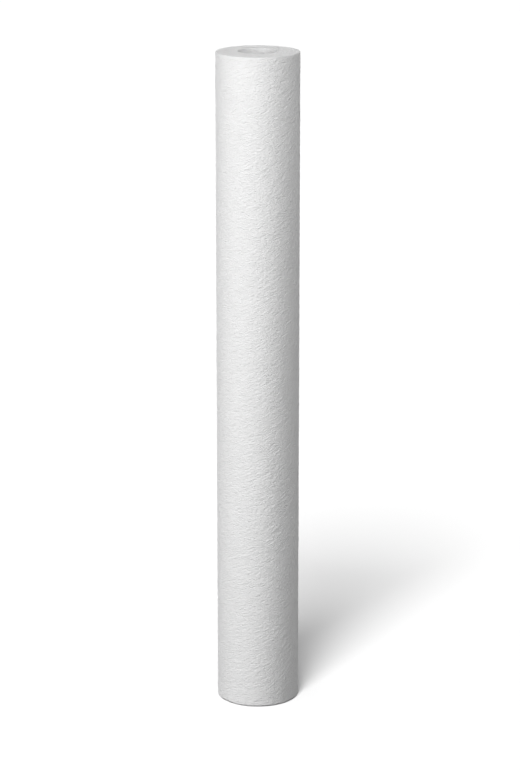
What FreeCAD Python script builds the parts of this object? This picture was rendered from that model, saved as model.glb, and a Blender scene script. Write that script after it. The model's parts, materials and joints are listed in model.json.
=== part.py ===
import FreeCAD, Part
import math
import os

# Melt-blown depth filter cartridge: one self-supporting tube of spun polypropylene fibre, cut
# square at both ends, with a plain bore right through. It has no core, cap, gasket or seam, so
# the whole cartridge is a single solid.
#
# Frame: millimetres, +Z up along the bore, origin at the centre of the lower end face.

INCH = 25.4

# Driving dimensions
CARTRIDGE_LENGTH = 20.0 * INCH   # fits a twenty-inch housing, seat to seat
OUTER_DIAMETER = 2.5 * INCH      # slim-line housing size
BORE_DIAMETER = 29.0             # slips over the housing's centring spigots
RIM_RADIUS = 1.2                 # the cut rim's fibres pull round to about this radius
BORE_EDGE_RADIUS = 0.8           # the bore's edge is firmer, formed against the mandrel

AXIS_POINT = FreeCAD.Vector(0, 0, 0)
AXIS = FreeCAD.Vector(0, 0, 1)
FULL_TURN = 360
QUARTER_TURN = math.pi / 2


def section_point(radius, height):
    """A point of the wall's section, in the half plane y = 0."""
    return FreeCAD.Vector(radius, 0, height)


def rounded_corner(centre_radius, centre_height, edge_radius, start_angle):
    """A quarter round of the section, anticlockwise from start_angle: its two ends and its edge."""
    angles = [start_angle, start_angle + QUARTER_TURN / 2, start_angle + QUARTER_TURN]
    start, middle, end = (
        section_point(
            centre_radius + edge_radius * math.cos(angle),
            centre_height + edge_radius * math.sin(angle),
        )
        for angle in angles
    )
    return start, end, Part.Arc(start, middle, end).toShape()


def wall_section():
    """The wall cut through the axis: a tall rectangle from bore to rim with four rounded corners."""
    bore_radius = BORE_DIAMETER / 2
    outer_radius = OUTER_DIAMETER / 2
    corners = [
        (outer_radius - RIM_RADIUS, CARTRIDGE_LENGTH - RIM_RADIUS, RIM_RADIUS),
        (bore_radius + BORE_EDGE_RADIUS, CARTRIDGE_LENGTH - BORE_EDGE_RADIUS, BORE_EDGE_RADIUS),
        (bore_radius + BORE_EDGE_RADIUS, BORE_EDGE_RADIUS, BORE_EDGE_RADIUS),
        (outer_radius - RIM_RADIUS, RIM_RADIUS, RIM_RADIUS),
    ]
    rounds = [
        rounded_corner(*corner, start_angle=index * QUARTER_TURN)
        for index, corner in enumerate(corners)
    ]
    edges = []
    for index, (_, end, arc) in enumerate(rounds):
        next_start = rounds[(index + 1) % len(rounds)][0]
        edges += [arc, Part.LineSegment(end, next_start).toShape()]
    return Part.Face(Part.Wire(edges))


def filter_tube():
    """The cartridge: the wall's section turned once round the bore's axis."""
    return wall_section().revolve(AXIS_POINT, AXIS, FULL_TURN)


def main():
    os.makedirs("parts", exist_ok=True)
    tube = filter_tube()
    tube.exportStep("parts/filter_tube.step")
    print(f"filter_tube: {tube.Volume / 1000:.0f} cm3, valid {tube.isValid()}")


main()
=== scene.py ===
import json
import math

import bpy
import numpy as np
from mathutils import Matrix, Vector, noise


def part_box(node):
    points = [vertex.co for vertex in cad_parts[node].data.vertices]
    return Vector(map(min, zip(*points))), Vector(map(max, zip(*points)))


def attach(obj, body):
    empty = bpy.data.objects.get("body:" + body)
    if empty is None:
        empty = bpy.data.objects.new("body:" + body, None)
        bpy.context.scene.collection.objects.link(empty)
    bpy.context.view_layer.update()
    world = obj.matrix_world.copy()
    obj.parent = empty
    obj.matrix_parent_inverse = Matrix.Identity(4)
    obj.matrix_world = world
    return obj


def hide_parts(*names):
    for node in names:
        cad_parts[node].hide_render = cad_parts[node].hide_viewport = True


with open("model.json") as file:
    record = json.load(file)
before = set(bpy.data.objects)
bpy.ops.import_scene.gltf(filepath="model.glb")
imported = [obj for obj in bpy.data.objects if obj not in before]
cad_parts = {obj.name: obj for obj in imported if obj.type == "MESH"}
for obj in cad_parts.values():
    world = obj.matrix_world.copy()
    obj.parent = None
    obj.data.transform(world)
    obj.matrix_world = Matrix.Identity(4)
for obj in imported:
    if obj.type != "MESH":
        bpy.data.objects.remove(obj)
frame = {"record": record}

# A melt-blown depth filter cartridge: one tube of spun polypropylene fibre, cut square at both
# ends, standing on one of them. Everything is in metres, in the CAD frame: +Z up along the bore,
# the origin at the centre of the lower end.

MM = 0.001
TUBE = "filter_tube"
RECORD = frame["record"]
LOW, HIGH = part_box(TUBE)
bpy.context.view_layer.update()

# Form of the tube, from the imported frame
LENGTH = HIGH.z - LOW.z
OUTER_RADIUS = (HIGH.x - LOW.x) / 2
BORE = next(mount for mount in RECORD["mounts"] if mount["name"] == "bore")
BORE_RADIUS = BORE["dims"]["r_mm"] * MM
BORE_EDGE = (LENGTH - BORE["dims"]["length_mm"] * MM) / 2
RIM_RADIUS = 1.2 * MM

# The fibre is laid down on a turning mandrel, so its wrinkles climb round the tube as a helix
WRINKLE_CLIMB = math.radians(32)
FOLD_TWIST = 1.3                    # the folds wind round faster than the streaks by this much
CROSS_CLIMB = math.radians(-40)     # the fine fibres that cross the streaks
BORE_CLIMB = math.radians(12)       # the first turns, laid on the mandrel

# Heights of the skin's relief
STREAK_HEIGHT = 0.2 * MM
FOLD_HEIGHT = 0.14 * MM
MOTTLE_HEIGHT = 0.1 * MM
SWELL_HEIGHT = 0.08 * MM

# Heights of the cut ends' relief
LAYER_HEIGHT = 0.05 * MM
FUZZ_HEIGHT = 0.05 * MM
FACE_SWELL_HEIGHT = 0.06 * MM
RIM_FALL = 0.55 * MM                # the end's outer half falls away by this much at the rim

# Heights of the bore's relief
BORE_TURN_HEIGHT = 0.05 * MM
BORE_MOTTLE_HEIGHT = 0.02 * MM

RELIEF_ALLOWANCE = 0.26 * MM        # all relief is sunk by this much, to stay inside the solid

# Mesh of the tube. Its columns follow the wrinkles, so that they are fine across and long along.
COLUMNS = 156
WALL_RINGS = 450
FACE_RINGS = 20
CORNER_RINGS = 5
BORE_RINGS = 74
BORE_CROWDING = 0.75                # the bore's rings crowd towards its two open ends

# Finish of the fibre
# The fibre's colour runs from dark to light over a random tone, plus painted shade in the weave's
# hollows
FIBRE_DARK = (0.86, 0.86, 0.86, 1)
FIBRE_LIGHT = (0.92, 0.92, 0.92, 1)
FIBRE_IOR = 1.49
FIBRE_SPECULAR = 0.25
BUMP_HEIGHT = 0.8 * MM

# Studio
FLOOR_WHITE = (0.9, 0.9, 0.9, 1)
FLOOR_BOUNCE = (0.1, 0.1, 0.1, 1)
FLOOR_HALF_SIDE = 12.0
HORIZON_GLOW = 0.06
OVERHEAD_GLOW = 0.08
LAMP_DISTANCE = 1.6
SUN_DISTANCE = 2.0

# Camera: a long lens, a little above the tube and aimed near its middle
CAMERA_SIDE = 1.6 * MM
CAMERA_DISTANCE = 2.0
CAMERA_HEIGHT = 0.8005
AIM_HEIGHT = 0.2512
LENS_MM = 126.7
SENSOR_MM = 36


# ---------------------------------------------------------------- mesh

def twist_rate(climb, radius):
    """Radians round the axis for each metre up it, of a helix that climbs at this angle."""
    return 1 / (radius * math.tan(climb))


def corner(centre_radius, centre_height, edge_radius, start_angle):
    """Points of a quarter round in the tube's section, as (radius, height), anticlockwise."""
    angles = start_angle + np.linspace(0, math.pi / 2, CORNER_RINGS + 1)
    return [
        (centre_radius + edge_radius * math.cos(a), centre_height + edge_radius * math.sin(a))
        for a in angles
    ]


def line(start, end, count, crowding=0.0):
    """Points between two section points, ends left out, crowded towards both ends."""
    steps = np.linspace(0, 1, count + 2)[1:-1]
    steps = steps - crowding * np.sin(2 * math.pi * steps) / (2 * math.pi)
    return [tuple(np.array(start) * (1 - t) + np.array(end) * t) for t in steps]


def tube_section():
    """The wall's section as a closed loop of (radius, height), from the foot of the outer wall up."""
    half_turn = math.pi
    top_rim = corner(OUTER_RADIUS - RIM_RADIUS, LENGTH - RIM_RADIUS, RIM_RADIUS, 0)
    top_bore = corner(BORE_RADIUS + BORE_EDGE, LENGTH - BORE_EDGE, BORE_EDGE, half_turn / 2)
    foot_bore = corner(BORE_RADIUS + BORE_EDGE, BORE_EDGE, BORE_EDGE, half_turn)
    foot_rim = corner(OUTER_RADIUS - RIM_RADIUS, RIM_RADIUS, RIM_RADIUS, half_turn * 1.5)
    return (
        foot_rim
        + line(foot_rim[-1], top_rim[0], WALL_RINGS)
        + top_rim
        + line(top_rim[-1], top_bore[0], FACE_RINGS)
        + top_bore
        + line(top_bore[-1], foot_bore[0], BORE_RINGS, BORE_CROWDING)
        + foot_bore
        + line(foot_bore[-1], foot_rim[0], FACE_RINGS)
    )


def section_normals(section):
    """Outward unit normals (radial, upward) of the closed section."""
    points = np.array(section)
    along = np.roll(points, -1, axis=0) - np.roll(points, 1, axis=0)
    normals = np.stack([along[:, 1], -along[:, 0]], axis=1)
    return normals / np.linalg.norm(normals, axis=1, keepdims=True)


def lumps(x, y, z, size):
    """Perlin noise with lumps of about this size, the same all ways."""
    return noise.noise(Vector((x, y, z)) / size)


def twisted_lumps(x, y, z, rate, across, along, seed):
    """Perlin noise stretched along a helix: turning each point back by its height's share of the
    helix leaves it where its streak began."""
    turn = -rate * z
    c, s = math.cos(turn), math.sin(turn)
    point = Vector(((x * c - y * s) / across, (x * s + y * c) / across, z / along + seed))
    return noise.noise(point)


def wall_relief(x, y, z):
    """Height of the skin's wrinkles at a point of the outer wall, in metres."""
    rate = twist_rate(WRINKLE_CLIMB, OUTER_RADIUS)
    streaks = twisted_lumps(x, y, z, rate, 2.8 * MM, 2.0 * MM, seed=11)
    folds = abs(twisted_lumps(x, y, z, rate * FOLD_TWIST, 3.4 * MM, 2.2 * MM, seed=37))
    mottle = lumps(x, y, z, 2.4 * MM)
    swell = lumps(x, y, z * 0.6, 13 * MM)
    return (
        STREAK_HEIGHT * streaks
        + FOLD_HEIGHT * folds
        + MOTTLE_HEIGHT * mottle
        + SWELL_HEIGHT * swell
    )


def face_relief(x, y, z):
    """Height of a cut end: faint rings of the fibre's layers, the cut's fuzz, and the fall
    towards the rim."""
    radius = math.hypot(x, y)
    wander = 0.5 * MM * lumps(x, y, z, 9 * MM)
    layers = noise.noise(Vector(((radius + wander) / (1.1 * MM), 0.5, z)))
    fuzz = lumps(x, y, z, 1.2 * MM)
    swell = lumps(x, y, z, 8 * MM)
    middle = (OUTER_RADIUS + BORE_RADIUS) / 2
    outward = max(0, (radius - middle) / (OUTER_RADIUS - middle))
    return (
        LAYER_HEIGHT * layers
        + FUZZ_HEIGHT * fuzz
        + FACE_SWELL_HEIGHT * swell
        - RIM_FALL * outward**2
    )


def bore_relief(x, y, z):
    """Height of the bore's skin, which keeps the shallow turns of the fibre that went on first."""
    rate = twist_rate(BORE_CLIMB, BORE_RADIUS)
    turns = twisted_lumps(x, y, z, rate, 5 * MM, 9 * MM, seed=71)
    return BORE_TURN_HEIGHT * turns + BORE_MOTTLE_HEIGHT * lumps(x, y, z, 3 * MM)


def smooth_share(value, start, end):
    """0 below start, 1 above end, and a smooth rise between."""
    t = np.clip((value - start) / (end - start), 0, 1)
    return t * t * (3 - 2 * t)


def tube_mesh():
    """The whole tube as one closed mesh with its relief."""
    section = tube_section()
    normals = section_normals(section)
    spacing = 2 * math.pi / COLUMNS
    wanted_twist = twist_rate(WRINKLE_CLIMB, OUTER_RADIUS) * (LENGTH - 2 * RIM_RADIUS)
    closing_shift = round(wanted_twist / spacing)
    twist_per_metre = closing_shift * spacing / (LENGTH - 2 * RIM_RADIUS)
    wall_start, wall_end = CORNER_RINGS, CORNER_RINGS + WALL_RINGS + 1
    vertices = []
    for index, (radius, height) in enumerate(section):
        climbed = section[min(index, wall_end)][1] - RIM_RADIUS if index > wall_start else 0
        turns = twist_per_metre * climbed + spacing * np.arange(COLUMNS)
        radial, upward = normals[index]
        on_wall = smooth_share(radial, 0.3, 0.9)
        on_bore = smooth_share(-radial, 0.3, 0.9)
        on_face = 1 - on_wall - on_bore
        for c, s in zip(np.cos(turns), np.sin(turns)):
            x, y = radius * c, radius * s
            relief = -RELIEF_ALLOWANCE
            if on_wall > 0:
                relief += on_wall * wall_relief(x, y, height)
            if on_bore > 0:
                relief += on_bore * bore_relief(x, y, height)
            if on_face > 0:
                relief += on_face * face_relief(x, y, height)
            pushed = radius + relief * radial
            vertices.append((pushed * c, pushed * s, height + relief * upward))
    faces = []
    count = len(section)
    for ring in range(count):
        following = (ring + 1) % count
        shift = closing_shift if following == 0 else 0
        for column in range(COLUMNS):
            a = ring * COLUMNS + column
            b = ring * COLUMNS + (column + 1) % COLUMNS
            c = following * COLUMNS + (column + 1 + shift) % COLUMNS
            d = following * COLUMNS + (column + shift) % COLUMNS
            faces.append((a, b, c, d))
    mesh = bpy.data.meshes.new("fibre_tube")
    mesh.from_pydata(vertices, [], faces)
    mesh.shade_smooth()
    return mesh


# ---------------------------------------------------------------- materials

class Tree:
    """Short way to add and link the nodes of a material or world."""

    def __init__(self, owner):
        owner.use_nodes = True
        self.tree = owner.node_tree
        self.tree.nodes.clear()

    def add(self, kind, settings=None, **inputs):
        """A node with its settings and inputs. An input is a value or another node's output."""
        node = self.tree.nodes.new(kind)
        for name, value in (settings or {}).items():
            setattr(node, name, value)
        for name, value in inputs.items():
            self.feed(node, name, value)
        return node

    def feed(self, node, name, value):
        """Set or link one input, given by its name, or by its number as _0, _1 and so on."""
        key = int(name[1:]) if name[0] == "_" and name[1:].isdigit() else name.replace("_", " ")
        socket = node.inputs[key]
        if isinstance(value, bpy.types.NodeSocket):
            self.tree.links.new(value, socket)
        else:
            socket.default_value = value

    def maths(self, operation, a, b):
        return self.add("ShaderNodeMath", {"operation": operation}, _0=a, _1=b).outputs[0]

    def spread(self, value, low, high, to_low=0.0, to_high=1.0):
        """value from low to high, spread over to_low to to_high."""
        node = self.add(
            "ShaderNodeMapRange",
            Value=value, From_Min=low, From_Max=high, To_Min=to_low, To_Max=to_high,
        )
        return node.outputs["Result"]


def fibre_pattern(tree, place, climb, across, along):
    """Noise drawn out along a helix round the tube, which climbs at the given angle."""
    height = tree.add("ShaderNodeSeparateXYZ", Vector=place).outputs["Z"]
    turn = tree.maths("MULTIPLY", height, -twist_rate(climb, OUTER_RADIUS))
    untwisted = tree.add(
        "ShaderNodeVectorRotate", {"rotation_type": "Z_AXIS"}, Vector=place, Angle=turn
    ).outputs["Vector"]
    stretch = tree.add(
        "ShaderNodeVectorMath", {"operation": "MULTIPLY"}, _0=untwisted,
        _1=(1 / across, 1 / across, 1 / along),
    ).outputs["Vector"]
    pattern = tree.add("ShaderNodeTexNoise", Vector=stretch, Scale=1.0, Detail=2.0, Roughness=0.6)
    return pattern.outputs["Fac"]


def fibre_material():
    """White spun polypropylene: a matt skin of fine crossing fibres with a slight satin."""
    material = bpy.data.materials.new("spun_polypropylene")
    tree = Tree(material)
    place = tree.add("ShaderNodeTexCoord").outputs["Object"]
    fine = fibre_pattern(tree, place, WRINKLE_CLIMB, 1.7 * MM, 1.2 * MM)
    cross = fibre_pattern(tree, place, CROSS_CLIMB, 1.5 * MM, 1.2 * MM)
    clouds = tree.add(
        "ShaderNodeTexNoise", Vector=place, Scale=1 / (7 * MM), Detail=3.0, Roughness=0.55
    ).outputs["Fac"]
    weave = tree.maths("ADD", fine, tree.maths("MULTIPLY", cross, 0.7))
    # Colour: the clouds give a random tone of the fibre; the weave adds painted shade, its low places
    # (the hollows of the bump) drawn darker
    tone_and_hollow_shade = tree.maths("ADD", tree.maths("MULTIPLY", clouds, 0.6), tree.maths("MULTIPLY", weave, 0.4))
    colour = tree.add("ShaderNodeMix", {"data_type": "RGBA"}, Factor=tree.spread(tone_and_hollow_shade, 0.35, 0.95))
    colour.inputs["A"].default_value = FIBRE_DARK
    colour.inputs["B"].default_value = FIBRE_LIGHT
    bump = tree.add("ShaderNodeBump", Height=weave, Strength=1.0, Distance=BUMP_HEIGHT)
    surface = tree.add(
        "ShaderNodeBsdfPrincipled",
        Base_Color=colour.outputs["Result"],
        Roughness=tree.spread(weave, 0.5, 1.2, 0.47, 0.57),
        IOR=FIBRE_IOR,
        Specular_IOR_Level=FIBRE_SPECULAR,
        Normal=bump.outputs["Normal"],
    )
    tree.add("ShaderNodeOutputMaterial", Surface=surface.outputs["BSDF"])
    return material


def seen_directly(tree):
    """1 where the camera, a reflection or a refraction looks, 0 for light that bounces."""
    path = tree.add("ShaderNodeLightPath").outputs
    shiny = tree.maths("MAXIMUM", path["Is Glossy Ray"], path["Is Transmission Ray"])
    return tree.maths("MAXIMUM", path["Is Camera Ray"], shiny)


def floor_material():
    """White studio floor that takes the shadow. Only a little of its light bounces back up."""
    material = bpy.data.materials.new("studio_floor")
    tree = Tree(material)
    seen = seen_directly(tree)
    white = tree.add("ShaderNodeBsdfDiffuse", Color=FLOOR_WHITE)
    dim = tree.add("ShaderNodeBsdfDiffuse", Color=FLOOR_BOUNCE)
    mix = tree.add("ShaderNodeMixShader", Fac=seen, _1=dim.outputs["BSDF"], _2=white.outputs["BSDF"])
    tree.add("ShaderNodeOutputMaterial", Surface=mix.outputs["Shader"])
    return material


def studio_world():
    """White as seen, and a faint soft light from all round, strongest from above."""
    world = bpy.data.worlds.new("studio")
    bpy.context.scene.world = world
    tree = Tree(world)
    seen = seen_directly(tree)
    direction = tree.add("ShaderNodeTexCoord").outputs["Generated"]
    upward = tree.add("ShaderNodeSeparateXYZ", Vector=direction).outputs["Z"]
    glow = tree.spread(upward, 0.0, 1.0, HORIZON_GLOW, OVERHEAD_GLOW)
    strength = tree.add("ShaderNodeMix", {"data_type": "FLOAT"}, Factor=seen, A=glow, B=1.0)
    sky = tree.add("ShaderNodeBackground", Color=(1, 1, 1, 1), Strength=strength.outputs["Result"])
    tree.add("ShaderNodeOutputWorld", Surface=sky.outputs["Background"])


# ---------------------------------------------------------------- studio

def look_at(thing, target):
    direction = Vector(target) - thing.location
    thing.rotation_euler = direction.to_track_quat("-Z", "Y").to_euler()


def around(azimuth, elevation, distance):
    """A point seen from mid height of the tube. Azimuth 0 is the camera's side, positive its right."""
    a, e = math.radians(azimuth), math.radians(elevation)
    return Vector((
        distance * math.sin(a) * math.cos(e),
        -distance * math.cos(a) * math.cos(e),
        LENGTH / 2 + distance * math.sin(e),
    ))


def light_only(lamp, thing):
    """The lamp lights only this thing, though everything still casts its shadow."""
    group = bpy.data.collections.new(lamp.name + "_lights")
    group.objects.link(thing)
    lamp.light_linking.receiver_collection = group


def place_lamp(name, data, location):
    """Put a lamp in the scene, aimed at the middle of the tube."""
    lamp = bpy.data.objects.new(name, data)
    lamp.location = location
    look_at(lamp, (0, 0, LENGTH / 2))
    bpy.context.scene.collection.objects.link(lamp)
    return lamp


def soft_box(name, azimuth, elevation, width, height, power):
    data = bpy.data.lights.new(name, "AREA")
    data.shape = "RECTANGLE"
    data.size, data.size_y = width, height
    data.energy = power
    return place_lamp(name, data, around(azimuth, elevation, LAMP_DISTANCE))


def sky_lamp(name, azimuth, elevation, spread, strength):
    data = bpy.data.lights.new(name, "SUN")
    data.angle = math.radians(spread)
    data.energy = strength
    return place_lamp(name, data, around(azimuth, elevation, SUN_DISTANCE))


def studio_floor():
    mesh = bpy.data.meshes.new("floor")
    side = FLOOR_HALF_SIDE
    corners = [(-side, -side, 0), (side, -side, 0), (side, side, 0), (-side, side, 0)]
    mesh.from_pydata(corners, [], [(0, 1, 2, 3)])
    mesh.materials.append(floor_material())
    floor = bpy.data.objects.new("floor", mesh)
    bpy.context.scene.collection.objects.link(floor)
    return floor


def camera():
    data = bpy.data.cameras.new("camera")
    data.sensor_width = SENSOR_MM
    data.lens = LENS_MM
    data.clip_end = 50
    view = bpy.data.objects.new("camera", data)
    view.location = (CAMERA_SIDE, -CAMERA_DISTANCE, CAMERA_HEIGHT)
    look_at(view, (CAMERA_SIDE, 0, AIM_HEIGHT))
    bpy.context.scene.collection.objects.link(view)
    bpy.context.scene.camera = view


def light_the_tube(tube):
    """A wide key from the left, a higher fill from the right, and a faint light from behind."""
    lamps = [
        soft_box("key", azimuth=-52, elevation=12, width=1.0, height=0.8, power=19.5),
        soft_box("fill", azimuth=20, elevation=40, width=0.7, height=0.8, power=13.5),
        soft_box("back", azimuth=175, elevation=20, width=0.9, height=1.2, power=6.0),
    ]
    for lamp in lamps:
        light_only(lamp, tube)


def light_the_floor(floor):
    """A soft sun that casts the tube's shadow to the right and back, under a wide dome of light."""
    lamps = [
        sky_lamp("shade", azimuth=-16, elevation=53, spread=20, strength=2.86),
        sky_lamp("dome", azimuth=0, elevation=89, spread=110, strength=1.12),
    ]
    for lamp in lamps:
        light_only(lamp, floor)


# ---------------------------------------------------------------- the scene

def main():
    tube = bpy.data.objects.new("fibre_tube", tube_mesh())
    tube.data.materials.append(fibre_material())
    bpy.context.scene.collection.objects.link(tube)
    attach(tube, "root")
    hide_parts(TUBE)

    floor = studio_floor()
    studio_world()
    light_the_tube(tube)
    light_the_floor(floor)
    camera()
    bpy.context.scene.view_settings.view_transform = "Standard"


main()
